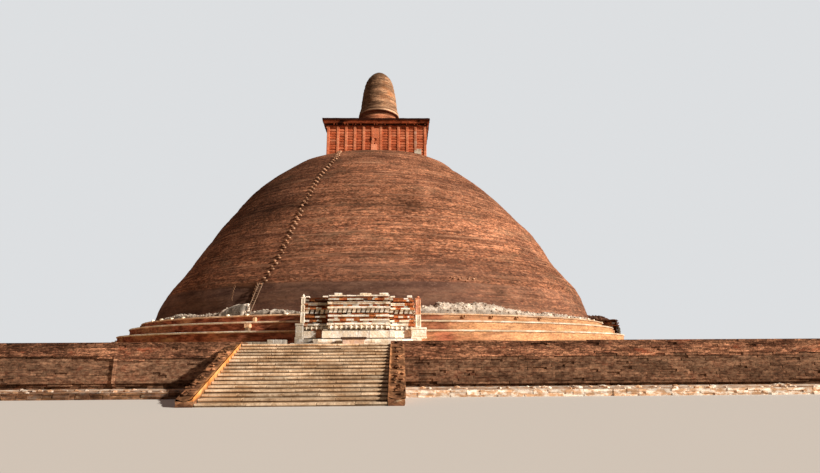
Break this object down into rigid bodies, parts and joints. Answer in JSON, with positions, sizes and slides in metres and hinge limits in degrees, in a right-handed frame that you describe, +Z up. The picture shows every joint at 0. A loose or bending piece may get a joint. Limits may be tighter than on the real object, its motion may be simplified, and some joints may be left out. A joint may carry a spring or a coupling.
{
  "type": "1:10 scale model of a ruined brick stupa",
  "caption": "Bell-shaped brick dome on round terraces and a walled square platform, with steps and an altar frontispiece on each side, a square enclosure and a broken spire on top",
  "frame": {"origin": "middle of the platform's square base, at ground level", "axes": "+Z up; the front flight of steps and frontispiece face -Y; +X is to the right of a viewer who faces the front"},
  "size_m": [18.88, 18.88, 7.37],
  "materials": {
    "platform_surface": "rough sandy ground-coloured paving, matt",
    "wall_brick": "rough dark red-brown brick, weathered, matt",
    "step_stone": "worn yellow-brown stone, matt",
    "cheek_brick": "rough orange-brown brick, matt",
    "altar_stone": "pale limestone with patches of red brick, matt",
    "terrace_brick": "orange-brown brick with pale copings, matt",
    "dome_brick": "weathered red-brown brick in courses, matt",
    "ladder_iron": "dark rusted paint",
    "harmika_brick": "bright red-orange brick, matt",
    "spire_brick": "brown weathered brick with plaster traces, matt"
  },
  "bodies": {
    "root": {"platform_fill": "platform_surface", "front_wall_footing": "wall_brick", "front_platform_wall": "wall_brick", "front_steps": "step_stone", "front_steps_left_cheek": "cheek_brick", "front_steps_right_cheek": "cheek_brick", "front_altar_base": "altar_stone", "front_altar_body": "altar_stone", "front_altar_left_pillar": "altar_stone", "front_altar_right_pillar": "altar_stone", "right_wall_footing": "wall_brick", "right_platform_wall": "wall_brick", "right_steps": "step_stone", "right_steps_left_cheek": "cheek_brick", "right_steps_right_cheek": "cheek_brick", "right_altar_base": "altar_stone", "right_altar_body": "altar_stone", "right_altar_left_pillar": "altar_stone", "right_altar_right_pillar": "altar_stone", "back_wall_footing": "wall_brick", "back_platform_wall": "wall_brick", "back_steps": "step_stone", "back_steps_left_cheek": "cheek_brick", "back_steps_right_cheek": "cheek_brick", "back_altar_base": "altar_stone", "back_altar_body": "altar_stone", "back_altar_left_pillar": "altar_stone", "back_altar_right_pillar": "altar_stone", "left_wall_footing": "wall_brick", "left_platform_wall": "wall_brick", "left_steps": "step_stone", "left_steps_left_cheek": "cheek_brick", "left_steps_right_cheek": "cheek_brick", "left_altar_base": "altar_stone", "left_altar_body": "altar_stone", "left_altar_left_pillar": "altar_stone", "left_altar_right_pillar": "altar_stone", "lower_terrace": "terrace_brick", "middle_terrace": "terrace_brick", "upper_terrace": "terrace_brick", "dome": "dome_brick", "access_ladder": "ladder_iron", "harmika": "harmika_brick", "harmika_cornice": "harmika_brick", "spire_drum": "spire_brick", "spire": "spire_brick"}
  },
  "joints": []
}
